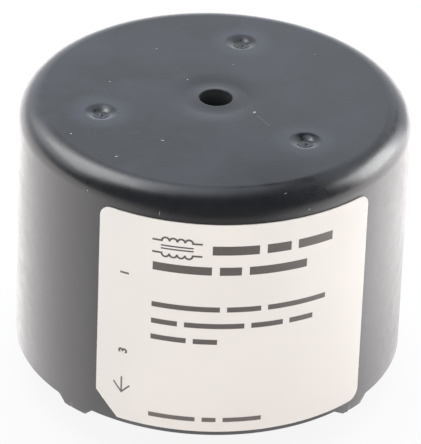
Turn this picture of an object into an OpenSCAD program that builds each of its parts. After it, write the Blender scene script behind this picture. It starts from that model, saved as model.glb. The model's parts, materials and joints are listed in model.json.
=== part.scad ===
// Potted common mode choke: two windings on a toroid core, cast in a round cup that stands on its open side.
// Lengths are in millimetres. The origin is the middle of the seating plane under the feet, on the axis of
// the centre hole. +Z points to the closed top, and the label faces -Y.

/* [Housing cup] */
// Diameter of the cup's outside at the height of the seating plane
cup_d = 51.7; // [46:0.1:58]
// Height from the seating plane to the closed top
cup_h = 36.7; // [32:0.1:46]
// Slope of the moulded side wall in degrees
draft = 0.3; // [0.1:0.1:0.8]
// Thickness of the side wall
wall = 1.5; // [1.2:0.1:2.2]
// Thickness of the closed top
top_t = 1.6; // [1.3:0.1:2.4]
// Radius of the round edge of the top
top_edge_r = 3.2; // [2.3:0.1:4]
// Height of the locating ribs' lower end above the wound core's lower side
rib_start = 3; // [1:0.5:8]
// Thickness of each locating rib
rib_t = 1.2; // [0.8:0.1:2]
// Number of locating ribs inside the wall
rib_count = 6; // [4:1:8]

/* [Feet] */
// Height of the feet under the rim
foot_h = 1; // [0.6:0.1:1.6]
// Width of a foot where it stands
foot_w = 4.1; // [3:0.1:8]
// Slope of a foot's two ends, sideways per unit of height
foot_flare = 1; // [0.5:0.1:1.5]

/* [Centre tube] */
// Diameter of the screw hole through the middle
bore_d = 4.4; // [3.4:0.1:5.4]
// Wall of the tube round the hole at its free end
tube_wall = 1.6; // [1.2:0.1:2.4]
// Radius where the tube meets the closed top
tube_root_r = 1; // [0.6:0.1:1.5]
// Width of the shallow dish round the hole, beyond its edge
dish_w = 1.7; // [1:0.1:2.5]
// Depth of the shallow dish
dish_depth = 0.2; // [0.1:0.05:0.5]

/* [Gate dimples] */
// Number of moulding gate dimples in the top
gate_count = 3; // [2:1:4]
// Distance of the dimples from the middle
gate_ring_r = 15.6; // [12:0.1:19]
// Direction of the first dimple, counted from +X
gate_turn = 75; // [60:1:100]
// Diameter of a dimple
gate_d = 3.8; // [2.5:0.1:5]
// Depth of a dimple
gate_depth = 0.5; // [0.3:0.05:0.8]
// Diameter of the broken-off gate stub in a dimple
stub_d = 1.1; // [0.6:0.1:1.6]
// Height of the stub over the bottom of its dimple
stub_h = 0.35; // [0.2:0.05:0.45]

/* [Core] */
// Radial build of the ferrite ring
core_build = 8; // [6:0.5:9]
// Radius of the ring's edges
core_edge_r = 0.8; // [0.4:0.1:1.5]
// Wall of the insulating case round the ring
case_wall = 0.8; // [0.6:0.1:1.2]
// Radius of the case's outside edges
case_edge_r = 0.6; // [0.3:0.05:0.75]
// Height of the lap where the case's lid goes over its tray
case_lap = 3; // [1.5:0.5:5]
// Gap between the ring and its case
core_fit = 0.2; // [0.1:0.05:0.4]
// Gap in the lap joint
lap_fit = 0.05; // [0.03:0.01:0.1]

/* [Windings] */
// Diameter of the enamelled wire
wire_d = 1.4; // [1:0.05:1.7]
// Gap between the wire and the case
wrap_fit = 0.05; // [0.03:0.01:0.2]
// Smallest gap between two turns, inside the ring
turn_fit = 0.05; // [0.03:0.01:0.3]
// Arc of the ring that one winding covers, in degrees
winding_arc = 140; // [110:2:150]
// Radius of the bend from a winding down to its terminal
lead_bend_r = 2; // [1.2:0.1:2.5]

/* [Terminals] */
// Distance between the terminals along X
pin_span_x = 35; // [32:0.5:37]
// Distance between the terminals along Y
pin_span_y = 15; // [12:0.5:18]
// Diameter of a tinned terminal
pin_d = 1.5; // [1.2:0.1:2]
// Length of a terminal below the seating plane
pin_reach = 4; // [2.5:0.1:6]
// Straight length of each lead inside the resin
pin_hold = 1.2; // [0.8:0.1:2]
// Length of wire that shows between a terminal's tinning and the resin
pin_gap = 0.3; // [0.2:0.05:0.8]
// Chamfer at the tip of a terminal
pin_tip = 0.3; // [0.1:0.05:0.5]

/* [Separators] */
// Thickness of the plate between the windings
separator_t = 1; // [0.8:0.1:1.6]
// Gap from a separator to the tube and to the case
separator_fit = 0.2; // [0.1:0.05:0.4]
// Radius of a separator's corners
separator_edge_r = 0.6; // [0.3:0.1:0.65]

/* [Potting] */
// Depth of the resin's surface inside the rim
resin_depth = 1.5; // [0.8:0.1:3]
// Height of the resin's edge where it creeps along a wall
resin_creep = 0.6; // [0.3:0.1:0.7]
// Resin between the wound core and the side wall
resin_side = 1.7; // [1:0.05:3]
// Resin between the wound core and the closed top
resin_cover = 1; // [0.6:0.1:2]
// Resin between its surface and the wound core, where the leads bend
lead_room = 6.7; // [5.5:0.1:10]
// Gap that stands for the bond between the resin and what it holds
cast_fit = 0.1; // [0.05:0.01:0.15]

/* [Label] */
// Width of the label round the cup
label_w = 37.6; // [30:0.1:60]
// Bare strip of wall under the label
label_low_gap = 0.7; // [0.4:0.1:3]
// Bare strip from the label to the flat top
label_top_gap = 3.8; // [3:0.1:10]
// Direction of the label's middle, counted from the front towards +X
label_turn = 5.3; // [-20:0.1:20]
// Thickness of the label film
label_t = 0.15; // [0.1:0.01:0.25]
// Glue between the label and the wall
label_fit = 0.02; // [0.01:0.01:0.05]
// Radius of the label's round corners
label_corner_r = 1.6; // [1:0.1:3]
// Size of the cut corner at the lower left
label_cut = 3.3; // [2:0.1:5]

/* [Hidden] */
$fn = 96;
// Sides of the wire's section and steps of each bend in a turn
wire_sides = 8;
bend_steps = 3;
// Share of a turn that the wire has made before each corner and within one: most of the way round the ring is
// made in the legs inside and outside it
corner_shares = [0.3, 0.4, 0.7, 0.9];
bend_share = 0.02;
// Flats at each end of a slot that a lead passes through
slot_flats = 8;
// Flats along each round corner of the label
corner_steps = 6;
corner_hair = 0.05;
// Top of a gate stub as a share of its foot, and the depth of its root in the top
stub_taper = 0.7;
stub_root = 0.4;
// Reach of a cutting solid past the face that it cuts
over = 1;
foot_count = 4;
foot_turn = 45;

cup_r = cup_d / 2;
rim_z = foot_h;
ceiling_z = cup_h - top_t;
bore_r = bore_d / 2;
dish_r = bore_r + dish_w;
inner_edge_r = top_edge_r - wall;
resin_z = rim_z + resin_depth;
pin_top_z = resin_z - pin_gap;
lead_low_z = resin_z + pin_hold;

// The wound core takes the room that the cup, the resin and the leads leave
wound_r = inner_r(ceiling_z) - resin_side;
wound_top_z = ceiling_z - resin_cover;
wound_low_z = resin_z + lead_room;
case_r = wound_r - wire_d - wrap_fit;
case_top_z = wound_top_z - wire_d - wrap_fit;
case_low_z = wound_low_z + wire_d + wrap_fit;
core_r = case_r - case_wall - core_fit;
core_hole_r = core_r - core_build;
core_top_z = case_top_z - case_wall - core_fit;
core_low_z = case_low_z + case_wall + core_fit;
case_hole_r = core_hole_r - core_fit - case_wall;
wound_hole_r = case_hole_r - wrap_fit - wire_d;

// Centre line of the wire in the section of the ring
leg_out_r = wound_r - wire_d / 2;
leg_in_r = wound_hole_r + wire_d / 2;
leg_top_z = wound_top_z - wire_d / 2;
leg_low_z = wound_low_z + wire_d / 2;
bend_r = case_edge_r + wrap_fit + wire_d / 2;
turns = floor(winding_arc * PI / 180 * leg_in_r / (wire_d + turn_fit));
turn_pitch = winding_arc / turns;
first_turn = 90 - winding_arc / 2;

pin_r_from_axis = norm([pin_span_x, pin_span_y]) / 2;
pin_turn = atan2(pin_span_y, pin_span_x);
separator_x = tube_r(ceiling_z) + separator_fit;

// Radius of the wall's outside, of its inside and of the tube's outside at a height
function outer_r(z) = cup_r - z * tan(draft);
function inner_r(z) = outer_r(z) - wall;
function tube_r(z) = bore_r + tube_wall + z * tan(draft);

// Centre of the circle that rounds a corner under the level top_z, where the wall comes in at the draft
function wall_round_x(wall_r, top_z, r) = wall_r - (top_z - r) * tan(draft) - r / cos(draft);

// Section of the cup as if it were solid
module outer_section() {
    x = wall_round_x(cup_r, cup_h, top_edge_r);
    z = cup_h - top_edge_r;
    polygon([[0, 0], [cup_r, 0], [x + top_edge_r * cos(draft), z + top_edge_r * sin(draft)], [x, cup_h], [0, cup_h]]);
    translate([x, z]) circle(r = top_edge_r);
}

// Section of the room between the tube and the wall, drawn in by a gap on every side
module room_section(low_z, gap) {
    wall_r = cup_r - wall - gap;
    tube_foot_r = bore_r + tube_wall + gap;
    top_z = ceiling_z - gap;
    edge_r = inner_edge_r - gap;
    root_r = tube_root_r - gap;
    edge_x = wall_round_x(wall_r, top_z, edge_r);
    edge_z = top_z - edge_r;
    root_z = top_z - root_r;
    root_x = tube_foot_r + root_z * tan(draft) + root_r / cos(draft);
    polygon([[tube_foot_r + low_z * tan(draft), low_z], [wall_r - low_z * tan(draft), low_z],
             [edge_x + edge_r * cos(draft), edge_z + edge_r * sin(draft)], [edge_x, top_z],
             [root_x, top_z], [root_x - root_r * cos(draft), root_z + root_r * sin(draft)]]);
    translate([edge_x, edge_z]) circle(r = edge_r);
    translate([root_x, root_z]) circle(r = root_r);
}

// Rectangle with round corners, given by its lower left and upper right corners
module round_rect(low, high, r) {
    translate([low[0] + r, low[1]]) square([high[0] - low[0] - 2 * r, high[1] - low[1]]);
    translate([low[0], low[1] + r]) square([high[0] - low[0], high[1] - low[1] - 2 * r]);
    for (x = [low[0] + r, high[0] - r], z = [low[1] + r, high[1] - r]) translate([x, z]) circle(r = r);
}

// Bar that runs from the axis out to the front, with its section drawn as width and height, then turned about Z
module radial_bar(turn) {
    rotate([0, 0, turn]) rotate([90, 0, 0]) linear_extrude(height = cup_d) children();
}

// Feet are what stays of the wall when its lower end is cut back to the rim
module rim_cut() {
    half_low = foot_w / 2;
    half_top = half_low + (foot_h + over) * foot_flare;
    difference() {
        translate([0, 0, -over]) rotate_extrude()
            translate([tube_r(rim_z) + over, 0]) square([cup_r, foot_h + over]);
        for (i = [0 : foot_count - 1]) radial_bar(foot_turn + i * 360 / foot_count)
            polygon([[-half_low, -2 * over], [half_low, -2 * over], [half_low, 0], [half_top, foot_h + over],
                     [-half_top, foot_h + over], [-half_low, 0]]);
    }
}

// Ribs that centre the wound core in the cup, grown by a gap where the resin leaves room for them. They reach
// into the wall and the top by a third of the wall, and follow the round edge there.
module ribs(gap) {
    low_z = wound_low_z + rib_start - gap;
    inner_face = wound_r + cast_fit - gap;
    intersection() {
        rotate_extrude() room_section(low_z, -wall / 3);
        for (i = [0 : rib_count - 1]) rotate([0, 0, (i + 0.5) * 360 / rib_count])
            translate([inner_face, -rib_t / 2 - gap, low_z - over])
                cube([cup_r - inner_face, rib_t + 2 * gap, cup_h - low_z + over]);
    }
}

// Dimple that a point gate leaves, cut as part of a ball
module gate_dimples() {
    ball_r = (gate_d * gate_d / 4 + gate_depth * gate_depth) / (2 * gate_depth);
    for (i = [0 : gate_count - 1]) rotate([0, 0, gate_turn + i * 360 / gate_count])
        translate([gate_ring_r, 0, cup_h - gate_depth + ball_r]) sphere(r = ball_r);
}

module gate_stubs() {
    for (i = [0 : gate_count - 1]) rotate([0, 0, gate_turn + i * 360 / gate_count])
        translate([gate_ring_r, 0, cup_h - gate_depth - stub_root])
            cylinder(d1 = stub_d, d2 = stub_taper * stub_d, h = stub_h + stub_root);
}

module housing_cup() color("#33363b") {
    difference() {
        rotate_extrude() difference() {
            outer_section();
            room_section(-over, 0);
            translate([-over, -over]) square([over + bore_r, cup_h + 2 * over]);
            polygon([[0, cup_h + over], [dish_r, cup_h + over], [dish_r, cup_h],
                     [bore_r, cup_h - dish_depth], [0, cup_h - dish_depth]]);
        }
        rim_cut();
        gate_dimples();
    }
    gate_stubs();
    ribs(0);
}

module ferrite_core() color("#3b3d3f") {
    rotate_extrude() round_rect([core_hole_r, core_low_z], [core_r, core_top_z], core_edge_r);
}

// Section of the closed case, and of the part of it that is the lid
module case_section() {
    difference() {
        round_rect([case_hole_r, case_low_z], [case_r, case_top_z], case_edge_r);
        translate([case_hole_r + case_wall, case_low_z + case_wall])
            square([case_r - case_hole_r - 2 * case_wall, case_top_z - case_low_z - 2 * case_wall]);
    }
}

module lid_region(gap) {
    lid_z = case_top_z - case_wall - gap;
    translate([case_hole_r - over, lid_z])
        square([case_r - case_hole_r + 2 * over, case_wall + over + gap]);
    for (x = [case_hole_r - over, case_r - case_wall / 2 - gap])
        translate([x, lid_z - case_lap]) square([over + case_wall / 2 + gap, case_lap + over]);
}

module core_case_tray() color("#1f6f5c") {
    rotate_extrude() difference() {
        case_section();
        lid_region(lap_fit);
    }
}

module core_case_lid() color("#24806a") {
    rotate_extrude() intersection() {
        case_section();
        lid_region(0);
    }
}

// Wire route as [radius, direction, height], turn after turn: up the outside, in over the top, down through
// the hole and out under the ring. Each corner is a bend of bend_r round the case's edge.
function corner_points(k, i) = let(
        x = i == 0 || i == 3 ? leg_out_r - bend_r : leg_in_r + bend_r,
        z = i < 2 ? leg_top_z - bend_r : leg_low_z + bend_r)
    [for (j = [0 : bend_steps]) let(a = (i + j / bend_steps) * 90)
        [x + bend_r * cos(a), first_turn + (k + turn_share(i, j)) * turn_pitch, z + bend_r * sin(a)]];

// Share of a turn that the wire has made at a step of a corner
function turn_share(i, j) = corner_shares[i] + bend_share * j / bend_steps;

function start_lead() = [
    [pin_r_from_axis, pin_turn, pin_top_z - wire_d / 2],
    [pin_r_from_axis, pin_turn, lead_low_z + wire_d / 2],
    [leg_out_r, first_turn, leg_low_z - wire_d / 2],
    [leg_out_r, first_turn, leg_low_z + bend_r]];

function end_lead() = concat(
    [for (j = [0 : bend_steps]) let(a = 90 - 90 * j / bend_steps)
        [pin_r_from_axis - lead_bend_r * (1 - cos(a)), 180 - pin_turn, leg_low_z - lead_bend_r * (1 - sin(a))]],
    [[pin_r_from_axis, 180 - pin_turn, pin_top_z - wire_d / 2]]);

function winding_route() = concat(
    start_lead(),
    [for (k = [0 : turns - 1], i = [0 : k == turns - 1 ? 2 : 3]) each corner_points(k, i)],
    end_lead());

function to_xyz(p) = [p[0] * cos(p[1]), p[0] * sin(p[1]), p[2]];
function unit(v) = v / norm(v);

// One polyhedron that sweeps a regular section along a route in [radius, direction, height]
module wire_sweep(route, d, sides) {
    points = [for (p = route) to_xyz(p)];
    last = len(points) - 1;
    rings = [for (i = [0 : last]) let(
            ahead = i == last ? unit(points[i] - points[i - 1]) : unit(points[i + 1] - points[i]),
            behind = i == 0 ? ahead : unit(points[i] - points[i - 1]),
            along = unit(ahead + behind),
            around = [-sin(route[i][1]), cos(route[i][1]), 0],
            side = unit(around - (around * along) * along),
            up = cross(along, side))
        for (s = [0 : sides - 1]) points[i] + d / 2 * (cos(s * 360 / sides) * side + sin(s * 360 / sides) * up)];
    skin = [for (i = [0 : last - 1], s = [0 : sides - 1]) let(n = (s + 1) % sides)
        [i * sides + s, (i + 1) * sides + s, (i + 1) * sides + n, i * sides + n]];
    ends = [[for (s = [0 : sides - 1]) s], [for (s = [sides - 1 : -1 : 0]) last * sides + s]];
    polyhedron(points = rings, faces = concat(ends, skin), convexity = 10);
}

module terminal(x, y) {
    translate([x, y, pin_tip - pin_reach]) cylinder(d = pin_d, h = pin_reach + pin_top_z - pin_tip);
    translate([x, y, -pin_reach]) cylinder(d1 = pin_d - 2 * pin_tip, d2 = pin_d, h = pin_tip);
}

module winding() {
    wire_sweep(winding_route(), wire_d, wire_sides);
    for (x = [-1, 1]) terminal(x * pin_span_x / 2, pin_span_y / 2);
}

module winding_1() color("#a8552a") winding();

// The second winding is the mirror image, so that equal currents from one side add their flux
module winding_2() color("#a8552a") mirror([0, 1, 0]) winding();

// Plate that keeps the windings apart: its spine stands in the hole, and its legs go over and under the ring
module separator() {
    rotate([90, 0, 0]) translate([0, 0, -separator_t / 2]) linear_extrude(height = separator_t) difference() {
        round_rect([separator_x, wound_low_z], [wound_r, wound_top_z], separator_edge_r);
        translate([case_hole_r - separator_fit, case_low_z - separator_fit])
            square([wound_r, case_top_z - case_low_z + 2 * separator_fit]);
    }
}

module separator_right() color("#d9d3c2") separator();
module separator_left() color("#d9d3c2") rotate([0, 0, 180]) separator();

// Slot with round ends between two points, from one height to another. Its ends are drawn with flats that
// touch the circle of radius r from outside.
module slot(from, to, r, low_z, high_z) {
    turn = atan2(to[1] - from[1], to[0] - from[0]);
    corner_r = r / cos(90 / slot_flats);
    translate([0, 0, low_z]) linear_extrude(height = high_z - low_z) polygon([
        for (end = [0, 1], i = [0 : slot_flats - 1])
            let(a = turn + 90 + end * 180 + (i + 0.5) * 180 / slot_flats, p = end == 0 ? from : to)
            [p[0] + corner_r * cos(a), p[1] + corner_r * sin(a)]]);
}

// Room that the resin leaves for the leads of one winding
module lead_room_of_winding() {
    r = wire_d / 2 + 2 * cast_fit;
    high_z = wound_low_z + wire_d;
    for (side = [0, 1]) {
        turn = side == 0 ? pin_turn : 180 - pin_turn;
        pin = [pin_r_from_axis * cos(turn), pin_r_from_axis * sin(turn)];
        leg_turn = side == 0 ? first_turn : 180 - pin_turn;
        leg_r = side == 0 ? leg_out_r : pin_r_from_axis - lead_bend_r;
        leg = [leg_r * cos(leg_turn), leg_r * sin(leg_turn)];
        slot(pin, leg, r, lead_low_z, high_z);
        translate([pin[0], pin[1], 0]) cylinder(r = wire_d / 2 + cast_fit, h = lead_low_z + cast_fit);
    }
}

module potting_resin() color("#1d1e20") {
    low_z = resin_z - resin_creep;
    tube_side = tube_r(low_z) + 2 * cast_fit;
    wall_side = inner_r(low_z) - 2 * cast_fit;
    difference() {
        rotate_extrude() difference() {
            room_section(low_z, cast_fit);
            round_rect([tube_side, low_z - 2 * resin_creep], [wall_side, resin_z], resin_creep);
            round_rect([wound_hole_r - cast_fit, wound_low_z - cast_fit],
                       [wound_r + cast_fit, wound_top_z + cast_fit], bend_r);
        }
        ribs(cast_fit);
        for (turn = [0, 180]) rotate([0, 0, turn])
            translate([separator_x - cast_fit, -separator_t / 2 - cast_fit, wound_low_z - cast_fit])
                cube([wound_r - separator_x + 3 * cast_fit, separator_t + 2 * cast_fit,
                      wound_top_z - wound_low_z + 2 * cast_fit]);
        lead_room_of_winding();
        mirror([0, 1, 0]) lead_room_of_winding();
    }
}

// What is cut off a label's corner: side is -1 on the left and 1 on the right, end is -1 below and 1 above.
// The arc's two end points stand a hair outside the label, so that the cut crosses its edges at an angle.
module corner_off(side, end, z, r) {
    polygon(concat(
        [for (i = [0 : corner_steps]) let(
                a = 90 * i / corner_steps,
                reach = i == 0 || i == corner_steps ? r + corner_hair : r)
            [side * (reach * cos(a) - r), z + end * (reach * sin(a) - r)]],
        [[-side * r, z + end * over], [side * over, z + end * over], [side * over, z - end * r]]));
}

module rating_label() color("#f1ece7") {
    low_z = rim_z + label_low_gap;
    top_z = cup_h - label_top_gap;
    span = label_w / cup_r * 180 / PI;
    left = label_turn - span / 2;
    right = label_turn + span / 2;
    difference() {
        rotate([0, 0, left - 90]) rotate_extrude(angle = span)
            polygon([for (p = [[0, low_z], [label_t, low_z], [label_t, top_z], [0, top_z]])
                [outer_r(p[1]) + label_fit + p[0], p[1]]]);
        radial_bar(left) corner_off(-1, 1, top_z, label_corner_r);
        radial_bar(right) corner_off(1, 1, top_z, label_corner_r);
        radial_bar(right) corner_off(1, -1, low_z, label_corner_r);
        radial_bar(left) polygon([[-over, low_z - over], [label_cut + over, low_z - over],
                                  [-over, low_z + label_cut + over]]);
    }
}

housing_cup();
ferrite_core();
core_case_tray();
core_case_lid();
winding_1();
winding_2();
separator_left();
separator_right();
potting_resin();
rating_label();
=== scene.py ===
"""Looks of a potted common mode choke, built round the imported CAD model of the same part.

The file is laid out as a Blender add-on and is run as a script. Lengths are in metres, in the frame of the
CAD model: the origin is the middle of the seating plane, +Z points to the closed top and the label faces -Y.
"""

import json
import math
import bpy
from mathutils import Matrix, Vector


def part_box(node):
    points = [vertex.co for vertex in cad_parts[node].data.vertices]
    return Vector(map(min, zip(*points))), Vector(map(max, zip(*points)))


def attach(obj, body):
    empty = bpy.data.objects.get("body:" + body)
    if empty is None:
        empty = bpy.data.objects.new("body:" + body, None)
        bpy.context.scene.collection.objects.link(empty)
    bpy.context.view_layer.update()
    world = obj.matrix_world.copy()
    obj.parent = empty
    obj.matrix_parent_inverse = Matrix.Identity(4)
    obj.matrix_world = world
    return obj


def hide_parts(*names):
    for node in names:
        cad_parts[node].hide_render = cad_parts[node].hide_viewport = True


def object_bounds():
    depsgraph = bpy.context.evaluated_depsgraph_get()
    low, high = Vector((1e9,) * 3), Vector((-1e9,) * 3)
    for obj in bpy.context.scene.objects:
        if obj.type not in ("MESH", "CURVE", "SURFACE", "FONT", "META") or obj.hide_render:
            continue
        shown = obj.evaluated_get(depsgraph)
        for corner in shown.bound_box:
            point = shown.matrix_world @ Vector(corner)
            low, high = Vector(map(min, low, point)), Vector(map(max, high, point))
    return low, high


bl_info = {
    "name": "Common Mode Choke",
    "version": (1, 0, 0),
    "blender": (4, 5, 0),
    "location": "3D View > Sidebar > Choke",
    "description": "Models a potted choke with its label and sets it on a studio floor",
    "category": "Add Mesh",
}

import bmesh
import bpy
from bpy.props import FloatProperty, FloatVectorProperty, IntProperty, PointerProperty
from mathutils import Matrix, Quaternion, Vector

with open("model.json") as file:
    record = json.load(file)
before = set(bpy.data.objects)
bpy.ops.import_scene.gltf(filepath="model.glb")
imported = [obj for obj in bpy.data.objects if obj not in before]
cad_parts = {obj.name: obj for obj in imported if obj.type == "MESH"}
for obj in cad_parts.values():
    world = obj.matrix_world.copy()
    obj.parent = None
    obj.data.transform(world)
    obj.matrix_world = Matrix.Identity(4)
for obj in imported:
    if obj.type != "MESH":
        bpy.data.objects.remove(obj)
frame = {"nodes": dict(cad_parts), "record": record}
cad_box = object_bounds()
# What the scene's own cup and label take their heights and the hole from
cup_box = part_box("housing_cup")
label_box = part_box("rating_label")
bore_mount = next(mount for mount in frame["record"]["mounts"] if mount["name"] == "centre_bore")

MM = 0.001
# Draft of the moulded wall and of the centre tube
DRAFT = math.tan(math.radians(0.3))
# Vertices closer than this are the same one
SAME = 0.002 * MM
# Direction of the camera in degrees, counted from the front
CAMERA_TURN = -3.4
# Faces that meet at less than this angle are shaded smooth
SMOOTH_ANGLE = math.radians(40)
# Width of the columns in which the label and its print follow the wall
COLUMN = 0.5 * MM
# Colour of the light of the world and the cards
SKY = "#eff5ff"


def mm(value):
    """A length given in millimetres, in metres."""
    return value * MM


def linear(hex_colour):
    """Linear RGBA of an sRGB colour written as #rrggbb."""
    channels = [int(hex_colour[i : i + 2], 16) / 255 for i in (1, 3, 5)]
    return [c / 12.92 if c <= 0.04045 else ((c + 0.055) / 1.055) ** 2.4 for c in channels] + [1.0]


def length(name, description, default):
    """A length in metres that a user may change, with its default in millimetres."""
    return FloatProperty(
        name=name, description=description, default=mm(default), min=0, unit="LENGTH", precision=5
    )


def colour(name, description, default):
    """A colour that a user may change, with its default as an sRGB hex value."""
    return FloatVectorProperty(
        name=name, description=description, default=linear(default), size=4, subtype="COLOR", min=0, max=1
    )


class CupSizes(bpy.types.PropertyGroup):
    """Sizes of the moulded cup."""

    radius: length("Radius", "Outside radius of the cup at the seating plane", 25.85)
    height: length("Height", "Height from the seating plane to the closed top", cup_box[1].z / MM)
    rim_height: length("Rim height", "Height of the rim over the seating plane", 1.0)
    wall: length("Wall", "Thickness of the side wall", 1.5)
    top: length("Top", "Thickness of the closed top", 1.6)
    shoulder: length("Shoulder", "Radius of the round edge of the top", 3.2)
    bore: length("Bore", "Radius of the screw hole", bore_mount["dims"]["r_mm"])
    tube_wall: length("Tube wall", "Wall of the tube round the hole at its free end", 1.6)
    dish: length("Dish", "Radius of the sink mark round the hole", 5.8)
    sink: length("Sink", "Radius at which the sink mark is deepest", 3.5)
    dish_depth: length("Dish depth", "Depth of the sink mark", 0.16)
    gate_ring: length("Gate ring", "Distance of the gate dimples from the middle", 15.6)
    edge: length("Edge", "Radius of the small moulded edges", 0.12)
    foot_width: length("Foot width", "Width of a foot where it stands", 4.1)
    rib: length("Rib", "Thickness of the locating ribs inside", 1.2)
    steps: IntProperty(name="Steps", description="Flats round the cup", default=256, min=64)


class LabelSizes(bpy.types.PropertyGroup):
    """Sizes of the film label."""

    width: length("Width", "Width of the label round the cup", 37.6)
    low: length("Lower edge", "Height of the label's lower edge", label_box[0].z / MM)
    high: length("Upper edge", "Height of the label's upper edge", label_box[1].z / MM)
    turn: FloatProperty(
        name="Turn",
        description="Direction of the label's middle, counted from the front",
        default=math.radians(5.3),
        unit="ROTATION",
    )
    film: length("Film", "Thickness of the label film", 0.15)
    glue: length("Glue", "Thickness of the glue under the label", 0.02)
    corner: length("Corner", "Radius of the label's round corners", 1.6)
    cut: length("Cut", "Size of the cut corner", 3.3)
    ink: length("Ink", "Thickness of the print", 0.012)


class ChokeColours(bpy.types.PropertyGroup):
    """Colours of the choke's materials."""

    plastic: colour("Plastic", "Black moulded polyester", "#141518")
    film: colour("Film", "Face of the label", "#f1ebe5")
    ink: colour("Ink", "Print on the label", "#544e4a")
    resin: colour("Resin", "Cast epoxy", "#17181a")
    tin: colour("Tin", "Solder on the terminals", "#c6c5c1")
    copper: colour("Copper", "Enamelled wire", "#a8552a")
    ferrite: colour("Ferrite", "Sintered core", "#3b3d3f")
    case: colour("Core case", "Moulded case round the core", "#1f6f5c")
    sheet: colour("Separator", "Insulating sheet", "#d9d3c2")
    dust: colour("Dust", "Dust and lint on the cup", "#c9cace")


class StudioSettings(bpy.types.PropertyGroup):
    """Camera and light of the studio."""

    lens: FloatProperty(name="Lens", description="Focal length in millimetres", default=303.1, min=1)
    floor: colour("Floor", "Floor and backdrop", "#f4f4f4")
    back_light: FloatProperty(name="Back light", description="Light of the backdrop", default=1.14, min=0)
    front_light: FloatProperty(
        name="Front light", description="Light from the front and above", default=0.2, min=0
    )


def only(piece):
    """Select one object alone and make it the active one."""
    bpy.ops.object.select_all(action="DESELECT")
    piece.select_set(True)
    bpy.context.view_layer.objects.active = piece


def started(name, add, **settings):
    """Add a primitive with nothing else selected, and name it."""
    bpy.ops.object.select_all(action="DESELECT")
    add(**settings)
    piece = bpy.context.active_object
    piece.name = piece.data.name = name
    return piece


def settle(piece):
    """Put a piece's place into its mesh, so that its object sits at the origin."""
    only(piece)
    bpy.ops.object.transform_apply(location=True, rotation=True, scale=True)


def edit(piece):
    """Go into edit mode on one piece."""
    only(piece)
    bpy.ops.object.mode_set(mode="EDIT")


def done():
    """Leave edit mode."""
    bpy.ops.object.mode_set(mode="OBJECT")


def pick(kind, wanted):
    """In edit mode, select the vertices or the faces that a test on their middle accepts."""
    bpy.ops.mesh.select_mode(type=kind)
    bpy.ops.mesh.select_all(action="DESELECT")
    mesh = bmesh.from_edit_mesh(bpy.context.object.data)
    if kind == "VERT":
        chosen = [vertex for vertex in mesh.verts if wanted(vertex.co)]
    else:
        chosen = [face for face in mesh.faces if wanted(face.calc_center_median())]
    if not chosen:
        raise RuntimeError("nothing lies where the selection looks")
    for part in chosen:
        part.select_set(True)
    mesh.select_flush_mode()
    bmesh.update_edit_mesh(bpy.context.object.data)


def draw_line(name, points):
    """Draw a line in the XZ plane by extruding one vertex from point to point, and stay in edit mode."""
    piece = started(name, bpy.ops.mesh.primitive_plane_add, size=MM)
    bpy.ops.object.mode_set(mode="EDIT")
    bpy.ops.mesh.merge(type="CENTER")
    bpy.ops.transform.translate(value=(points[0][0], 0, points[0][1]))
    for start, end in zip(points, points[1:]):
        step = (end[0] - start[0], 0, end[1] - start[1])
        bpy.ops.mesh.extrude_vertices_move(TRANSFORM_OT_translate={"value": step})
    return piece


def round_point(point, offset, segments):
    """In edit mode, round the corner of a drawn line at a point."""
    pick("VERT", lambda v: abs(v.x - point[0]) < SAME and abs(v.z - point[1]) < SAME)
    bpy.ops.mesh.bevel(offset=offset, offset_type="OFFSET", segments=segments, affect="VERTICES", profile=0.5)


def turn_round(steps):
    """In edit mode, spin a drawn line into a closed body round the vertical axis."""
    bpy.ops.mesh.select_all(action="SELECT")
    bpy.ops.mesh.remove_doubles(threshold=SAME)
    bpy.ops.mesh.spin(steps=steps, angle=2 * math.pi, center=(0, 0, 0), axis=(0, 0, 1))
    bpy.ops.mesh.select_all(action="SELECT")
    bpy.ops.mesh.remove_doubles(threshold=SAME)
    bpy.ops.mesh.normals_make_consistent(inside=False)
    done()


def modify(piece, kind, **settings):
    """Put a modifier on a piece and apply it."""
    only(piece)
    step = piece.modifiers.new("step", kind)
    for key, value in settings.items():
        setattr(step, key, value)
    bpy.ops.object.modifier_apply(modifier=step.name)


def cut_or_join(piece, tool, operation):
    """Cut a tool out of a piece, or join it on, and remove the tool."""
    modify(piece, "BOOLEAN", operation=operation, object=tool, solver="EXACT")
    bpy.data.objects.remove(tool)


def join(pieces, name):
    """Join pieces into one under a name."""
    bpy.ops.object.select_all(action="DESELECT")
    for piece in pieces:
        piece.select_set(True)
    bpy.context.view_layer.objects.active = pieces[0]
    bpy.ops.object.join()
    whole = bpy.context.active_object
    whole.name = whole.data.name = name
    settle(whole)
    return whole


def shade(piece):
    """Smooth shading up to an angle, led by the large faces, so that flat ones stay flat."""
    only(piece)
    bpy.ops.object.shade_smooth_by_angle(angle=SMOOTH_ANGLE)
    modify(piece, "WEIGHTED_NORMAL", keep_sharp=True, weight=100)


def give(piece, material):
    """Make a material the only one of a piece."""
    if piece.material_slots:
        for slot in piece.material_slots:
            slot.material = material
    else:
        piece.data.materials.append(material)


def put(tree, value, socket):
    """Link an input to the output of another node, or set it to a fixed value."""
    if isinstance(value, bpy.types.NodeSocket):
        tree.links.new(value, socket)
    else:
        socket.default_value = value


def node(tree, kind, inputs=None, **settings):
    """Add a node to a tree, with fixed values or links on its inputs."""
    made = tree.nodes.new(kind)
    for key, value in settings.items():
        setattr(made, key, value)
    for key, value in (inputs or {}).items():
        put(tree, value, made.inputs[key])
    return made


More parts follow.
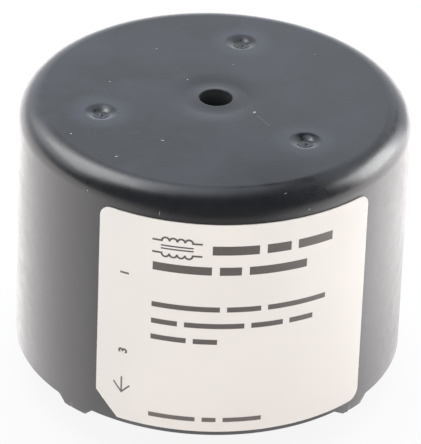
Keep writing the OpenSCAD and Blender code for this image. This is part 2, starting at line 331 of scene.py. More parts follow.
def new_material(name, **values):
    """A material with one Principled shader, values on its sockets, and object coordinates to draw on."""
    material = bpy.data.materials.new(name)
    material.use_nodes = True
    tree = material.node_tree
    tree.nodes.clear()
    inputs = {key.replace("_", " "): value for key, value in values.items()}
    shader = node(tree, "ShaderNodeBsdfPrincipled", inputs)
    node(tree, "ShaderNodeOutputMaterial", {"Surface": shader.outputs["BSDF"]})
    place = node(tree, "ShaderNodeTexCoord").outputs["Object"]
    return material, tree, shader, place


def show(tree, shader):
    """Make a shader the one that a material's surface shows."""
    output = next(n for n in tree.nodes if n.type == "OUTPUT_MATERIAL")
    tree.links.new(shader.outputs[0], output.inputs["Surface"])


def mix_shaders(tree, fac, first, second):
    """Mix two shaders by a factor."""
    return node(tree, "ShaderNodeMixShader", {0: fac, 1: first.outputs[0], 2: second.outputs[0]})


def maths(tree, operation, *values, **settings):
    """The result of a math node on fixed values and outputs of other nodes."""
    return node(tree, "ShaderNodeMath", dict(enumerate(values)), operation=operation, **settings).outputs[0]


def product(tree, *factors):
    """Several factors multiplied."""
    total = factors[0]
    for factor in factors[1:]:
        total = maths(tree, "MULTIPLY", total, factor)
    return total


def along(tree, place, axis):
    """The X, Y or Z of a place."""
    return node(tree, "ShaderNodeSeparateXYZ", {"Vector": place}).outputs[axis]


def off_axis(tree, place):
    """The distance of a place from the vertical axis."""
    flat = node(tree, "ShaderNodeVectorMath", {0: place, 1: (1, 1, 0)}, operation="MULTIPLY").outputs[0]
    return node(tree, "ShaderNodeVectorMath", {0: flat}, operation="LENGTH").outputs["Value"]


def noise(tree, place, size_mm, detail=2.0, distortion=0.0):
    """Noise whose grain is about as large as a size in millimetres."""
    inputs = {"Vector": place, "Scale": 1 / mm(size_mm), "Detail": detail, "Distortion": distortion}
    return node(tree, "ShaderNodeTexNoise", inputs).outputs["Fac"]


def between(tree, fac, low, high, from_low=0.3, from_high=0.7):
    """Spread a factor over a range: low where the factor is from_low, and high where it is from_high."""
    inputs = {"Value": fac, "From Min": from_low, "From Max": from_high, "To Min": low, "To Max": high}
    return node(tree, "ShaderNodeMapRange", inputs).outputs["Result"]


def blend_colours(tree, fac, first, second):
    """Mix two colours by a factor."""
    return node(tree, "ShaderNodeMix", {0: fac, 6: first, 7: second}, data_type="RGBA").outputs[2]


def mottle(tree, shader, pattern, first, second):
    """Let the colour of a shader drift between two colours with a noise."""
    tone = blend_colours(tree, between(tree, pattern, 0, 1), first, second)
    tree.links.new(tone, shader.inputs["Base Color"])


def shaded(rgba, factor):
    """A colour made darker or lighter by a factor."""
    return [min(1.0, channel * factor) for channel in rgba[:3]] + [1.0]


def bump(tree, shader, height, depth_mm, strength, under=None):
    """Bump on a shader, with the depth of its relief in millimetres, over another bump if there is one."""
    inputs = {"Height": height, "Strength": strength, "Distance": mm(depth_mm)}
    if under:
        inputs["Normal"] = under
    normal = node(tree, "ShaderNodeBump", inputs).outputs["Normal"]
    tree.links.new(normal, shader.inputs["Normal"])
    return normal


def near_points(tree, place, points, inner, outer):
    """A factor that is 1 close to any of some points, and falls softly to 0 farther out."""
    total = 0
    for point in points:
        far = node(tree, "ShaderNodeVectorMath", {0: place, 1: point}, operation="DISTANCE").outputs["Value"]
        inputs = {"Value": far, "From Min": inner, "From Max": outer, "To Min": 1, "To Max": 0}
        near = node(tree, "ShaderNodeMapRange", inputs, interpolation_type="SMOOTHSTEP").outputs["Result"]
        total = maths(tree, "MAXIMUM", total, near)
    return total


def gate_points(cup):
    """The middles of the three gate dimples, the first one 75 degrees round from +X."""
    turns = [math.radians(75 + 120 * i) for i in range(3)]
    return [Vector((cup.gate_ring * math.cos(t), cup.gate_ring * math.sin(t), cup.height)) for t in turns]


def moulded_polyester():
    """Black glass-filled polyester, injection moulded in a satin tool.

    The glass fibres near the skin give soft patches in which the gloss changes a little. The top has a
    painted blue grey sheen in soft clouds, and a painted highlight round each gate, where the melt came in.
    The satin of the tool is a grain of about 0.12 mm. The gate dimples are polished, and the bore is dull, as
    its core pin leaves it, and coloured lighter, as painted light in the hole.
    """
    base, cup = bpy.context.scene.choke_colours.plastic, bpy.context.scene.choke_cup
    gates = gate_points(cup)
    material, tree, shader, place = new_material("moulded_polyester", Roughness=0.28, IOR=1.5)
    cloud = noise(tree, place, 8, distortion=0.4)
    patch = noise(tree, place, 1.6, detail=3)
    grain = noise(tree, place, 0.12, detail=1)
    tint = blend_colours(tree, between(tree, patch, 0, 1), base, shaded(base, 1.25))
    # Painted sheen: on the top the colour turns a lighter blue grey in soft clouds
    on_top = between(tree, along(tree, place, "Z"), 0, 1, cup.height - mm(0.7), cup.height - mm(0.1))
    haze_and_sheen = product(tree, on_top, between(tree, cloud, 0, 1, 0.38, 0.7))
    tint = blend_colours(tree, haze_and_sheen, tint, linear("#262930"))
    # Painted highlight: the colour turns a lighter blue grey in a ring round each gate, outside its bowl
    painted_gate_highlight = near_points(tree, place, gates, mm(2.2), mm(5.2))
    bowl = near_points(tree, place, gates, mm(1.7), mm(2.4))
    tint = blend_colours(tree, maths(tree, "SUBTRACT", painted_gate_highlight, bowl), tint, linear("#32363e"))
    # Painted light: the bore is coloured lighter, so that the hole does not render black
    in_bore = between(tree, off_axis(tree, place), 1, 0, cup.bore + mm(0.03), cup.bore + mm(0.12))
    tint = blend_colours(tree, in_bore, tint, linear("#2f3133"))
    tree.links.new(tint, shader.inputs["Base Color"])
    gloss = maths(tree, "ADD", between(tree, patch, -0.03, 0.03), between(tree, cloud, 0.27, 0.31))
    dull = maths(tree, "MULTIPLY_ADD", in_bore, 0.4, gloss)
    polish = near_points(tree, place, gates, mm(1.9), mm(2.15))
    finish = maths(tree, "MULTIPLY_ADD", polish, -0.12, dull)
    tree.links.new(finish, shader.inputs["Roughness"])
    wave = bump(tree, shader, patch, 0.012, strength=0.4)
    bump(tree, shader, grain, 0.002, strength=0.35, under=wave)
    return material


def label_film():
    """White polyester label film with a matt print coat: nearly smooth, with a faint drift of tone."""
    base = bpy.context.scene.choke_colours.film
    material, tree, shader, place = new_material(
        "label_film", Roughness=0.5, IOR=1.45, Specular_IOR_Level=0.35
    )
    drift = noise(tree, place, 14, detail=1)
    fibre = noise(tree, place, 0.5)
    mottle(tree, shader, drift, base, shaded(base, 0.965))
    tree.links.new(between(tree, fibre, 0.46, 0.54), shader.inputs["Roughness"])
    bump(tree, shader, fibre, 0.003, strength=0.4)
    return material


def thermal_ink():
    """Dark resin ribbon ink on film: a little uneven in tone, with a soft gloss of its own."""
    base = bpy.context.scene.choke_colours.ink
    material, tree, shader, place = new_material("thermal_ink", Roughness=0.45, IOR=1.5)
    speckle = noise(tree, place, 0.15)
    mottle(tree, shader, speckle, base, shaded(base, 1.35))
    return material


def cast_epoxy():
    """Black casting resin, poured and cured: glossy, with slow waves and a few pin holes."""
    base = bpy.context.scene.choke_colours.resin
    material, tree, shader, place = new_material("cast_epoxy", Roughness=0.18, IOR=1.54)
    wave = noise(tree, place, 6, detail=1)
    haze_and_sheen = noise(tree, place, 2.5, detail=3)
    tree.links.new(between(tree, haze_and_sheen, 0.12, 0.26), shader.inputs["Roughness"])
    mottle(tree, shader, haze_and_sheen, base, shaded(base, 1.3))
    holes = node(tree, "ShaderNodeTexVoronoi", {"Vector": place, "Scale": 1 / mm(3.2)})
    pit = between(tree, holes.outputs["Distance"], 0, 1, 0.02, 0.09)
    swell = bump(tree, shader, wave, 0.25, strength=0.5)
    bump(tree, shader, pit, 0.12, strength=0.6, under=swell)
    return material


def tinned_copper_wire():
    """Enamelled copper wire whose ends are stripped and dipped in solder.

    Over the dip line the enamel is a clear amber coat on copper. Under it the solder is a bright grey metal
    with a slightly uneven surface.
    """
    colours = bpy.context.scene.choke_colours
    material, tree, shader, place = new_material(
        "tinned_copper_wire", Metallic=1.0, Coat_Weight=0.3, Coat_Roughness=0.12
    )
    drawn = noise(tree, place, 0.7, detail=3)
    dip_line, blur = mm(2.2), mm(0.02)
    over = between(tree, along(tree, place, "Z"), 0, 1, dip_line - blur, dip_line + blur)
    tin = blend_colours(tree, between(tree, drawn, 0, 1), colours.tin, shaded(colours.tin, 0.8))
    copper = blend_colours(tree, between(tree, drawn, 0, 1), colours.copper, shaded(colours.copper, 0.75))
    tree.links.new(blend_colours(tree, over, tin, copper), shader.inputs["Base Color"])
    tree.links.new(between(tree, drawn, 0.24, 0.4), shader.inputs["Roughness"])
    bump(tree, shader, drawn, 0.03, strength=0.5)
    return material


def sintered_ferrite():
    """Manganese zinc ferrite, sintered and tumbled: dark grey, fine grained, with a dull sheen."""
    base = bpy.context.scene.choke_colours.ferrite
    material, tree, shader, place = new_material("sintered_ferrite", Roughness=0.6, IOR=2.2)
    grain = noise(tree, place, 0.25, detail=3)
    mottle(tree, shader, grain, shaded(base, 0.8), shaded(base, 1.2))
    bump(tree, shader, grain, 0.02, strength=0.6)
    return material


def moulded_case_plastic():
    """Green polyester of the core's case: moulded, satin, with faint flow marks."""
    base = bpy.context.scene.choke_colours.case
    material, tree, shader, place = new_material("moulded_case_plastic", Roughness=0.42, IOR=1.5)
    flow = noise(tree, place, 4, distortion=1.2)
    mottle(tree, shader, flow, shaded(base, 0.92), shaded(base, 1.1))
    tree.links.new(between(tree, flow, 0.38, 0.46), shader.inputs["Roughness"])
    bump(tree, shader, noise(tree, place, 0.15), 0.003, strength=0.5)
    return material


def pressed_fibre_sheet():
    """Natural insulating sheet of the separators: pale, matt, with a fibre of about 0.4 mm."""
    base = bpy.context.scene.choke_colours.sheet
    material, tree, shader, place = new_material("pressed_fibre_sheet", Roughness=0.7, IOR=1.48)
    fibre = noise(tree, place, 0.4, detail=4, distortion=1.5)
    mottle(tree, shader, fibre, shaded(base, 0.88), shaded(base, 1.05))
    bump(tree, shader, fibre, 0.02, strength=0.5)
    return material


def pale_dust():
    """Dust and lint: tiny pale fibres and grains, matt."""
    base = bpy.context.scene.choke_colours.dust
    material, tree, shader, place = new_material("pale_dust", Roughness=0.85, IOR=1.45)
    mottle(tree, shader, noise(tree, place, 0.4), base, shaded(base, 0.6))
    return material


def wall_radius(z):
    """Outside radius of the cup at a height."""
    return bpy.context.scene.choke_cup.radius - z * DRAFT


def from_foot(point):
    """Angle of a point from the middle of the nearest foot, before the cup is turned by an eighth."""
    quarter = math.pi / 2
    return (math.atan2(point.y, point.x) + quarter / 2) % quarter - quarter / 2


def cup_body(cup):
    """The cup as one turned body: wall, round shoulder, dish, bore, tube and inside."""
    tube_foot = cup.bore + cup.tube_wall
    ceiling = cup.height - cup.top
    corners = {
        "rim": (wall_radius(cup.rim_height), cup.rim_height),
        "shoulder": (wall_radius(cup.height), cup.height),
        "dish": (cup.dish, cup.height),
        "sink": (cup.sink, cup.height - cup.dish_depth),
        "mouth": (cup.bore, cup.height - mm(0.01)),
        "bore end": (cup.bore, 0),
        "tube end": (tube_foot, 0),
        "tube root": (tube_foot + ceiling * DRAFT, ceiling),
        "inner corner": (wall_radius(ceiling) - cup.wall, ceiling),
        "inner rim": (wall_radius(cup.rim_height) - cup.wall, cup.rim_height),
    }
    # Radius and number of flats of each round corner
    rounds = {
        "shoulder": (cup.shoulder, 14),
        "dish": (mm(0.9), 6),
        "sink": (mm(0.9), 8),
        "mouth": (mm(0.1), 3),
        "tube root": (mm(1), 4),
        "inner corner": (cup.shoulder - cup.wall, 5),
    }
    points = list(corners.values())
    body = draw_line("cup_shell", points + points[:1])
    bpy.ops.mesh.select_all(action="SELECT")
    bpy.ops.mesh.remove_doubles(threshold=SAME)
    for corner, (radius, flats) in rounds.items():
        round_point(corners[corner], radius, flats)
    turn_round(cup.steps)
    return body


def add_feet(body, cup):
    """Extrude the four feet down from the rim, and draw their ends in towards where they stand."""
    edit(body)
    # Half of the angle that a foot takes at the rim
    half_top = math.radians(7.03)
    near_rim = mm(0.01)
    tube_clear = cup.radius / 2
    pick(
        "FACE",
        lambda p: abs(p.z - cup.rim_height) < near_rim
        and p.xy.length > tube_clear
        and abs(from_foot(p)) < half_top,
    )
    bpy.ops.mesh.extrude_region_move(TRANSFORM_OT_translate={"value": (0, 0, -cup.rim_height)})
    step = 2 * math.pi / cup.steps
    columns = round(half_top / step)
    # How much of its angle a foot keeps where it stands
    share = cup.foot_width / 2 / cup.radius / half_top
    for column in [c for c in range(-columns, columns + 1) if c]:
        there = column * step
        pick(
            "VERT",
            lambda p: p.z < near_rim and p.xy.length > tube_clear and abs(from_foot(p) - there) < step / 4,
        )
        # Without a window, the operator turns against the sign of its value
        bpy.ops.transform.rotate(value=there * (1 - share), orient_axis="Z", center_override=(0, 0, 0))
    done()
    body.rotation_euler.z = math.pi / 4
    settle(body)


def add_ribs(body, cup):
    """Six locating ribs on the inside of the wall, joined to the cup."""
    # How deep the ribs reach into the wall and the top
    bite = cup.wall / 3
    low, high = mm(12.2), cup.height - cup.top + bite
    inner, outer = mm(22.57), wall_radius(low) - cup.wall + bite
    middle = (inner + outer) / 2
    for i in range(6):
        turn = math.radians(30 + 60 * i)
        place = (middle * math.cos(turn), middle * math.sin(turn), (low + high) / 2)
        rib = started("rib", bpy.ops.mesh.primitive_cube_add, size=1, location=place, rotation=(0, 0, turn))
        rib.scale = (outer - inner, cup.rib, high - low)
        settle(rib)
        cut_or_join(body, rib, "UNION")


def gate_cutter(cup, point):
    """Lathe tool for one gate dimple: a bowl with a rolled lip, and the stub of the gate standing in it."""
    # Distance from the dimple's middle and height over the top, in millimetres
    stub = [(0, -0.35), (0.16, -0.35), (0.24, -0.39), (0.34, -0.44)]
    bowl = [(0.5, -0.46), (0.65, -0.455), (0.8, -0.43), (0.92, -0.39), (1.05, -0.33), (1.2, -0.255)]
    lip = [(1.35, -0.195), (1.5, -0.15), (1.7, -0.096), (1.88, -0.05), (2.0, -0.022), (2.15, -0.005)]
    over_top = [(2.5, 0.002), (2.5, 0.6), (0, 0.6)]
    line = stub + bowl + lip + over_top
    cutter = draw_line("gate_cutter", [(mm(x), cup.height + mm(z)) for x, z in line])
    turn_round(steps=64)
    cutter.location = (point.x, point.y, 0)
    settle(cutter)
    return cutter


class CHOKE_OT_housing_cup(bpy.types.Operator):
    """Model the black cup with its shoulder, dish, gate dimples, tube, ribs and feet"""

    bl_idname = "choke.housing_cup"
    bl_label = "Housing cup"

    def execute(self, context):
        cup = context.scene.choke_cup
        body = cup_body(cup)
        add_feet(body, cup)
        # The small edges of the rim and the feet are round, and flatter ones stay as they are
        modify(
            body, "BEVEL", width=cup.edge, segments=2, limit_method="ANGLE", angle_limit=math.radians(50),
            use_clamp_overlap=False,
        )
        add_ribs(body, cup)
        for point in gate_points(cup):
            cut_or_join(body, gate_cutter(cup, point), "DIFFERENCE")
        shade(body)
        give(body, moulded_polyester())
        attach(body, "root")
        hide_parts("housing_cup")
        return {"FINISHED"}


def slice_columns(piece):
    """Cut a flat piece into upright columns, so that it can follow the round wall."""
    edit(piece)
    places = [v.co.x / COLUMN for v in bmesh.from_edit_mesh(piece.data).verts]
    for i in range(math.ceil(min(places)), math.floor(max(places)) + 1):
        bpy.ops.mesh.select_all(action="SELECT")
        bpy.ops.mesh.bisect(plane_co=(i * COLUMN, 0, 0), plane_no=(1, 0, 0))
    done()


def face_front(piece):
    """Turn every face of a flat piece to the front."""
    edit(piece)
    for face in bmesh.from_edit_mesh(piece.data).faces:
        if face.normal.y > 0:
            face.normal_flip()
    bmesh.update_edit_mesh(piece.data)
    done()


def wrap_on_wall(piece, off):
    """Bend a flat piece round the cup, with a fixed gap added to its distance off the wall.

    Its X is the way round the wall from the front, its Z the height and its -Y the distance off the wall.
    """
    radius = bpy.context.scene.choke_cup.radius
    for v in piece.data.vertices:
        x, y, z = v.co
        r = wall_radius(z) + off - y
        v.co = (r * math.sin(x / radius), -r * math.cos(x / radius), z)
    piece.data.update()


class CHOKE_OT_rating_label(bpy.types.Operator):
    """Model the film label with its round corners and its cut corner"""

    bl_idname = "choke.rating_label"
    bl_label = "Label film"

    def execute(self, context):
        cup, label = context.scene.choke_cup, context.scene.choke_label
        middle = label.turn * cup.radius
        left, right = middle - label.width / 2, middle + label.width / 2
        corners = [(left, label.low), (right, label.low), (right, label.high), (left, label.high)]
        film = draw_line("label_film", corners)
        bpy.ops.mesh.select_all(action="SELECT")
        bpy.ops.mesh.edge_face_add()
        round_point(corners[0], label.cut, 1)
        for corner in corners[1:]:
            round_point(corner, label.corner, 8)
        done()
        slice_columns(film)
        face_front(film)
        wrap_on_wall(film, label.glue + label.film)
        modify(film, "SOLIDIFY", thickness=label.film, offset=-1)
        shade(film)
        give(film, label_film())
        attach(film, "root")
        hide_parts("rating_label")
        return {"FINISHED"}


def rectangle(middle, width, height, lean=0):
    """A flat printed rectangle round a point, in millimetres on the label."""
    mark = started(
        "mark", bpy.ops.mesh.primitive_plane_add, size=1, location=(mm(middle[0]), 0, mm(middle[1])),
        rotation=(math.pi / 2, lean, 0),
    )
    mark.scale = (mm(width), mm(height), 1)
    settle(mark)
    return mark


def stroke(start, end, width):
    """A straight printed stroke between two points, in millimetres on the label."""
    start, end = Vector(start), Vector(end)
    run = end - start
    return rectangle((start + end) / 2, run.length + width, width, lean=-math.atan2(run.y, run.x))


def arc(middle, radius, width, start, end):
    """A printed arc round a point, in millimetres and degrees on the label."""
    # A flat for every 12 degrees, and six at the least
    flats = max(6, round(abs(end - start) / 12))
    turns = [math.radians(start + (end - start) * i / flats) for i in range(flats + 1)]
    centre = Vector((mm(middle[0]), 0, mm(middle[1])))
    line = draw_line("mark", [
        (centre.x + mm(radius) * math.cos(turn), centre.z + mm(radius) * math.sin(turn)) for turn in turns
    ])
    bpy.ops.mesh.select_all(action="SELECT")
    bpy.ops.mesh.extrude_edges_move(TRANSFORM_OT_translate={"value": (0, 0, 0)})
    inner, outer = (radius - width / 2) / radius, (radius + width / 2) / radius
    bpy.ops.transform.resize(value=(inner, 1, inner), center_override=centre)
    # What still lies on the arc becomes its outer edge
    pick("VERT", lambda p: (p - centre).length > mm(radius) * 0.999)
    bpy.ops.transform.resize(value=(outer, 1, outer), center_override=centre)
    done()
    return line


def numeral(text, middle, height):
    """A printed terminal number that reads from the bottom of the label up."""
    share_of_size, boldness = 0.7, mm(0.06)
    mark = started("mark", bpy.ops.object.text_add)
    mark.data.body = text
    mark.data.align_x, mark.data.align_y = "CENTER", "CENTER"
    mark.data.size = mm(height / share_of_size)
    mark.data.resolution_u = 3
    mark.data.offset = boldness
    bpy.ops.object.convert(target="MESH")
    mark = bpy.context.active_object
    mark.rotation_euler = (math.pi / 2, -math.pi / 2, 0)
    mark.location = (mm(middle[0]), 0, mm(middle[1]))
    settle(mark)
    return mark


def word_bars(left, low, widths, gap, height):
    """A row of plain bars that stands for a row of print."""
    marks = []
    for width in widths:
        marks.append(rectangle((left + width / 2, low + height / 2), width, height))
        left += width + gap
    return marks


def winding_sign(left, low, size):
    """Circuit sign of a two-winding choke.

    It has two rows of half turns with their leads, and the core as two lines between them.
    """
    marks = []
    turns, pitch, lead, width, core_gap = 4, size / 3, 1.1, 0.26, 0.44
    start, end = left + lead, left + lead + turns * pitch
    middle = low + size / 2
    for side in (-1, 1):
        z = middle + side * size * 0.3
        for i in range(turns):
            marks.append(arc((start + pitch * (i + 0.5), z), pitch / 2, width, 0, side * 180))
        marks.append(stroke((left, z), (start, z), width))
        marks.append(stroke((end, z), (end + lead, z), width))
    for z in (middle - core_gap / 2, middle + core_gap / 2):
        marks.append(stroke((start, z), (end, z), width * 0.8))
    return marks


class CHOKE_OT_label_print(bpy.types.Operator):
    """Print the label with a circuit sign, plain bars, two terminal numbers and an arrow"""

    bl_idname = "choke.label_print"
    bl_label = "Label print"

    def execute(self, context):
        label = context.scene.choke_label
        marks = winding_sign(-8.8, 27.6, 3.0)
        # Left end and height of a row, widths of its bars, gap between them and their thickness
        rows = (
            (-1.2, 28.5, (6.0, 3.2, 5.0), 1.0, 1.3),
            (-8.8, 25.5, (7.6, 2.8, 7.7), 1.0, 1.2),
            (-8.8, 20.0, (8.8, 4.4, 8.1), 0.9, 0.75),
            (-8.8, 17.5, (3.4, 7.7, 4.2, 3.3), 0.9, 0.75),
            (-8.8, 15.1, (4.6, 3.1), 0.9, 0.75),
            (-8.8, 3.2, (6.1, 1.8, 5.0), 0.9, 0.65),
        )
        for row in rows:
            marks += word_bars(*row)
        for text, middle in (("1", (-12.53, 24.0)), ("3", (-12.5, 12.25))):
            marks.append(numeral(text, middle, 1.15))
        # The arrow has a shaft and two barbs
        tip = (-12.63, 5.85)
        for start, end in (((-12.63, 8.1), (-12.63, 5.9)), (tip, (-13.7, 7.15)), (tip, (-11.55, 7.0))):
            marks.append(stroke(start, end, 0.22))
        ink = join(marks, "label_print")
        slice_columns(ink)
        face_front(ink)
        wrap_on_wall(ink, label.glue + label.film + label.ink)
        # The back of the print stays just clear of the film
        modify(ink, "SOLIDIFY", thickness=label.ink * 0.9, offset=-1)
        give(ink, thermal_ink())
        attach(ink, "root")
        return {"FINISHED"}


class CHOKE_OT_inner_parts(bpy.types.Operator):
    """Give the core, its case, the windings, the separators and the resin their finishes"""

    bl_idname = "choke.inner_parts"
    bl_label = "Inner parts"

    def execute(self, context):
        wire, case, sheet = tinned_copper_wire(), moulded_case_plastic(), pressed_fibre_sheet()
        finishes = {
            "ferrite_core": sintered_ferrite(),
            "core_case_tray": case,
            "core_case_lid": case,
            "winding_1": wire,
            "winding_2": wire,
            "separator_left": sheet,
            "separator_right": sheet,
            "potting_resin": cast_epoxy(),
        }
        for name, material in finishes.items():
            give(frame["nodes"][name], material)
        return {"FINISHED"}


def skin_normal(cup, spot):
    """The cup's outward direction at a point of its top, its round edge or its wall."""
    flat = Vector((spot.x, spot.y, 0))
    ring = wall_radius(cup.height) - cup.shoulder
    centre = flat.normalized() * min(ring, flat.length)
    centre.z = min(spot.z, cup.height - cup.shoulder)
    return (spot - centre).normalized()


class CHOKE_OT_dust(bpy.types.Operator):
    """Lay the few grains of dust and fibres of lint on the top"""

    bl_idname = "choke.dust"
    bl_label = "Dust and lint"

    def execute(self, context):
        cup = context.scene.choke_cup
        # X, Y, depth below the top, length and width of each, in millimetres, and its lean in degrees
        bits = [
            (-3.56, 4.68, 0, 0.25, 0.2, 0),
            (2.69, 8.86, 0, 0.18, 0.14, 0),
            (-7.41, 13.06, 0, 0.18, 0.14, 0),
            (13.64, 11.82, 0, 0.22, 0.16, 0),
            (-13.83, 3.95, 0, 0.28, 0.22, 0),
            (-18.99, -9.8, 0, 0.3, 0.22, 0),
            (-7.31, -11.32, 0, 0.55, 0.14, 150),
            (-13.26, -15.45, 0, 0.4, 0.2, 10),
            (4.85, -3.9, 0, 0.5, 0.36, 60),
            (5.85, -5.95, 0, 4.0, 0.02, 119),
            (-7.97, -24.39, 2.97, 0.7, 0.05, 85),
            (-2.55, -24.8, 1.25, 0.8, 0.05, 80),
            (7.82, -23.13, 0.66, 0.4, 0.06, 10),
            (10.94, -23.21, 2.93, 0.35, 0.07, 30),
            (-16.94, -19.25, 2.78, 0.25, 0.12, 0),
        ]
        made, flatness = [], 0.4
        for x, y, depth, long, wide, lean in bits:
            spot = Vector((mm(x), mm(y), cup.height - mm(depth)))
            up = skin_normal(cup, spot).to_track_quat("Z", "Y")
            grain = started("grain", bpy.ops.mesh.primitive_ico_sphere_add, subdivisions=2, radius=0.5)
            grain.scale = (mm(long), mm(wide), mm(wide * flatness))
            grain.rotation_mode = "QUATERNION"
            grain.rotation_quaternion = up @ Quaternion((0, 0, 1), math.radians(lean))
            grain.location = spot
            settle(grain)
            made.append(grain)
        dust = join(made, "dust_grains")
        bpy.ops.object.shade_smooth()
        give(dust, pale_dust())
        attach(dust, "root")
        return {"FINISHED"}


def soft_box(name, place, size, radiance, in_gloss=True, on_matt=True, tone="#ffffff"):
    """A rectangular studio light that looks at the middle of the choke."""
    middle = Vector((0, 0, mm(18)))
    lamp = bpy.data.lights.new(name, "AREA")
    lamp.shape, lamp.size, lamp.size_y = "RECTANGLE", size[0], size[1]
    lamp.energy = radiance * math.pi * size[0] * size[1]
    lamp.color = linear(tone)[:3]
    box = bpy.data.objects.new(name, lamp)
    bpy.context.scene.collection.objects.link(box)
    box.location = place
    box.rotation_euler = (middle - place).to_track_quat("-Z", "Y").to_euler()
    box.visible_glossy, box.visible_diffuse = in_gloss, on_matt
    box.visible_camera = False


def towards(azimuth, elevation, distance):
    """A place in a direction from the origin. Azimuth 0 is the front, and 90 the right."""
    a, e = math.radians(azimuth), math.radians(elevation)
    return distance * Vector((math.sin(a) * math.cos(e), -math.cos(a) * math.cos(e), math.sin(e)))


def mirrored_at(tree, place):
    """The strip of the wall that mirrors a point of the floor, and the point's distance from the axis.

    The strip is a direction in degrees, counted from the camera. Close to the wall it is the point's own
    direction, and far off it is half of that.
    """
    way = node(tree, "ShaderNodeSeparateXYZ", {"Vector": place})
    forward = maths(tree, "MULTIPLY", way.outputs["Y"], -1)
    turn = maths(tree, "ARCTAN2", way.outputs["X"], forward)
    degrees = maths(tree, "MULTIPLY_ADD", turn, math.degrees(1), -CAMERA_TURN)
    far = off_axis(tree, place)
    near = maths(tree, "DIVIDE", bpy.context.scene.choke_cup.radius, far, use_clamp=True)
    return maths(tree, "DIVIDE", degrees, maths(tree, "SUBTRACT", 2, near)), far


def floor_paper():
    """White studio paper. The camera sees it nearly white, with a trace of the choke's shadow.

    In gloss it is a glowing table, an emission that only gloss sees and that paints the reflections in the
    wall:
    as bright as paper in front of the choke, and dark past its front edge. It glows brighter where the sides
    of the wall mirror it, and close to the middle of the rim. A camera under it looks through it.
    """
    material, tree, shader, place = new_material("floor_paper", Roughness=0.9)
    shader.inputs["Base Color"].default_value = bpy.context.scene.choke_studio.floor
    path = node(tree, "ShaderNodeLightPath")
    to_camera = path.outputs["Is Camera Ray"]
    white = node(tree, "ShaderNodeEmission", {"Strength": 1.0})
    paper = mix_shaders(tree, product(tree, to_camera, 0.88), shader, white)
    # Painted reflections: gloss sees the floor glow by place, brightest where the sides and the rim of the
    # wall mirror it
    # The strips of the wall are in degrees, and the distances from the axis in metres
    wall, far = mirrored_at(tree, place)
    left = product(tree, between(tree, wall, 1.8, 0, -40, -10), between(tree, wall, 0, 1, -104, -88))
    right = product(
        tree,
        between(tree, wall, 0, 3.4, 15, 51),
        between(tree, wall, 1, 0, 60, 108),
        between(tree, far, 0.55, 1, mm(32), mm(60)),
    )
    at_rim = product(
        tree,
        between(tree, wall, 0, 2.4, -36, -18),
        between(tree, wall, 1, 0, 18, 36),
        between(tree, far, 0, 1, mm(22), mm(26)),
        between(tree, far, 1, 0, mm(30), mm(42)),
    )
    light = between(tree, along(tree, place, "Y"), 0.35, 1.0, mm(-160), mm(-70))
    for part in (left, right, at_rim):
        light = maths(tree, "ADD", light, part)
    painted_glow = node(tree, "ShaderNodeEmission", {"Color": linear("#fffbfb"), "Strength": light})
    paper = mix_shaders(tree, path.outputs["Is Glossy Ray"], paper, painted_glow)
    clear = node(tree, "ShaderNodeBsdfTransparent")
    behind = node(tree, "ShaderNodeNewGeometry").outputs["Backfacing"]
    show(tree, mix_shaders(tree, product(tree, behind, to_camera), paper, clear))
    return material


def add_card(card, dim, bright, front, back):
    """Turn a sheet into a card that gloss alone sees, from the front of the sheet.

    Its light grows from dim at its front to bright at its back, and falls off high over the choke.
    """
    top = bpy.context.scene.choke_cup.height
    material, tree, _, place = new_material(card.name)
    depth = between(tree, along(tree, place, "Y"), dim, bright, front, back)
    height = between(tree, along(tree, place, "Z"), 1, 0.08, top + mm(22), top + mm(33))
    glow = node(tree, "ShaderNodeEmission", {"Color": linear(SKY), "Strength": product(tree, depth, height)})
    clear = node(tree, "ShaderNodeBsdfTransparent")
    outside = node(tree, "ShaderNodeNewGeometry").outputs["Backfacing"]
    show(tree, mix_shaders(tree, outside, glow, clear))
    give(card, material)
    card.visible_camera = card.visible_diffuse = card.visible_transmission = False


def add_cards(cup):
    """Two cards in front of the right soft box, which would turn the top white for a camera on the left.

    The flat top mirrors the first one, the right part of an upright cylinder. The second stands farther off,
    for the round edge at the back.
    """
    height, gap, left_end = mm(48), mm(0.2), mm(4)
    top_card = started(
        "top_card", bpy.ops.mesh.primitive_cylinder_add, vertices=96, radius=mm(22.9), depth=height,
        end_fill_type="NOTHING", location=(0, 0, cup.height + gap + height / 2),
    )
    settle(top_card)
    edit(top_card)
    pick("VERT", lambda p: p.x < left_end)
    bpy.ops.mesh.delete(type="VERT")
    bpy.ops.mesh.select_all(action="SELECT")
    bpy.ops.mesh.flip_normals()
    done()
    add_card(top_card, 0.4, 1.5, mm(-20), mm(2))
    side_card = started(
        "side_card", bpy.ops.mesh.primitive_plane_add, size=1, location=(mm(60), mm(52), mm(48)),
        rotation=(0, -math.pi / 2, 0),
    )
    side_card.scale = (mm(45), mm(47), 1)
    settle(side_card)
    add_card(side_card, 1.3, 1.6, mm(28), mm(75))


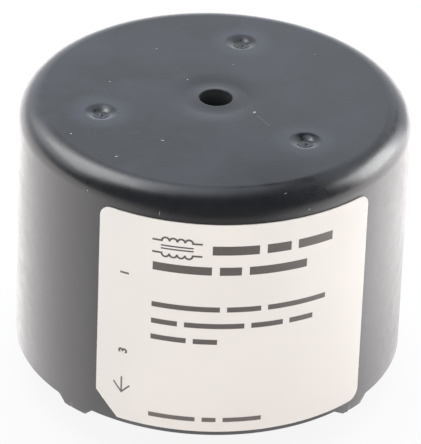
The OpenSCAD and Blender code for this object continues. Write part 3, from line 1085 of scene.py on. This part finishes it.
def studio_world(studio):
    """Light from all round: bright behind the choke, dim in front of it and above, and white to the camera.

    It grows again high up, at the back and on the left.
    """
    world = bpy.data.worlds.new("studio")
    bpy.context.scene.world = world
    world.use_nodes = True
    tree = world.node_tree
    tree.nodes.clear()
    # Each ramp runs over one coordinate of the direction that is looked in
    way = node(tree, "ShaderNodeTexCoord").outputs["Generated"]
    x, y, z = node(tree, "ShaderNodeSeparateXYZ", {"Vector": way}).outputs
    behind = between(tree, y, studio.front_light, studio.back_light, -0.05, 0.6)
    low = maths(tree, "ADD", between(tree, z, 1.45, 1.0, 0.36, 0.54), between(tree, z, 0, 0.15, 0.54, 0.64))
    overhead = product(
        tree,
        between(tree, z, 0, 1.9, 0.75, 0.95),
        between(tree, y, 0, 1, -0.35, 0.1),
        between(tree, x, 1, 0.1, -0.12, 0.15),
    )
    light = maths(tree, "MULTIPLY_ADD", behind, low, overhead)
    dim = node(tree, "ShaderNodeBackground", {"Color": linear(SKY), "Strength": light})
    white = node(tree, "ShaderNodeBackground", {"Color": (1, 1, 1, 1), "Strength": 1.0})
    seen = mix_shaders(tree, node(tree, "ShaderNodeLightPath").outputs["Is Camera Ray"], dim, white)
    node(tree, "ShaderNodeOutputWorld", {"Surface": seen.outputs[0]})


def add_camera(studio):
    """The camera at the photograph's angle: 31.4 degrees above the horizon and rolled by 2.2 degrees.

    It is placed as if it stood straight in front, and then turned round the vertical axis.
    """
    elevation, roll, turn = math.radians(31.41), math.radians(2.2), math.radians(CAMERA_TURN)
    right = Vector((1, 0, 0))
    forward = Vector((0, math.cos(elevation), -math.sin(elevation)))
    down = forward.cross(right)
    c, s = math.cos(roll), math.sin(roll)
    axes = [c * right - s * down, s * right + c * down, forward]
    # The middle of the rim, counted from the camera to the right, down and forward
    rim = Vector((-0.456, 14.17, 506.6)) * MM
    place = -(axes[0] * rim.x + axes[1] * rim.y + axes[2] * rim.z)
    spin = Matrix.Rotation(turn, 3, "Z")
    axes = [spin @ axis for axis in axes]
    place = spin @ place + Vector((0, 0, bpy.context.scene.choke_cup.rim_height))
    lens = bpy.data.cameras.new("camera")
    lens.sensor_width, lens.lens = 36, studio.lens
    lens.clip_start, lens.clip_end = 0.01, 20
    camera = bpy.data.objects.new("camera", lens)
    bpy.context.scene.collection.objects.link(camera)
    basis = Matrix((axes[0], -axes[1], -axes[2])).transposed()
    camera.matrix_world = Matrix.Translation(place) @ basis.to_4x4()
    bpy.context.scene.camera = camera


class CHOKE_OT_studio(bpy.types.Operator):
    """Set up the floor, the lights and the camera"""

    bl_idname = "choke.studio"
    bl_label = "Studio"

    def execute(self, context):
        studio = context.scene.choke_studio
        floor = started(
            "studio_floor", bpy.ops.mesh.primitive_circle_add, vertices=96, radius=3.0, fill_type="NGON",
            location=(0, 0, cad_box[0].z),
        )
        settle(floor)
        give(floor, floor_paper())
        add_cards(context.scene.choke_cup)
        studio_world(studio)
        warm = "#fff8f0"
        soft_box("left_box", towards(-108, 54, 0.3), (0.19, 0.18), 5.0, on_matt=False)
        soft_box("left_glow", towards(-111, 50, 0.3), (0.3, 0.3), 1.9, on_matt=False)
        soft_box("right_box", towards(102, 26, 0.3), (0.18, 0.17), 8.8, on_matt=False)
        soft_box("right_glow", towards(106, 18, 0.3), (0.26, 0.3), 2.3, on_matt=False)
        soft_box("right_fill", towards(110, 22, 0.3), (0.2, 0.25), 2.0, in_gloss=False, tone=warm)
        soft_box("top_fill", towards(180, 70, 0.8), (0.9, 0.6), 1.0, in_gloss=False)
        soft_box("front_fill", towards(-5, 25, 1.2), (0.8, 0.6), 4.1, in_gloss=False, tone=warm)
        add_camera(studio)
        context.scene.view_settings.view_transform = "Standard"
        return {"FINISHED"}


STEPS = (
    CHOKE_OT_studio,
    CHOKE_OT_housing_cup,
    CHOKE_OT_rating_label,
    CHOKE_OT_label_print,
    CHOKE_OT_inner_parts,
    CHOKE_OT_dust,
)


class CHOKE_PT_panel(bpy.types.Panel):
    """Lists the steps that build the choke"""

    bl_label = "Common mode choke"
    bl_space_type = "VIEW_3D"
    bl_region_type = "UI"
    bl_category = "Choke"

    def draw(self, context):
        for step in STEPS:
            self.layout.operator(step.bl_idname)


GROUPS = {
    "choke_cup": CupSizes,
    "choke_label": LabelSizes,
    "choke_colours": ChokeColours,
    "choke_studio": StudioSettings,
}


def register():
    for name, group in GROUPS.items():
        bpy.utils.register_class(group)
        setattr(bpy.types.Scene, name, PointerProperty(type=group))
    for step in STEPS:
        bpy.utils.register_class(step)
    bpy.utils.register_class(CHOKE_PT_panel)


def unregister():
    bpy.utils.unregister_class(CHOKE_PT_panel)
    for step in reversed(STEPS):
        bpy.utils.unregister_class(step)
    for name, group in GROUPS.items():
        delattr(bpy.types.Scene, name)
        bpy.utils.unregister_class(group)


def main():
    """Build the choke in its studio."""
    register()
    for step in STEPS:
        group, name = step.bl_idname.split(".")
        getattr(getattr(bpy.ops, group), name)()


if __name__ == "__main__":
    main()
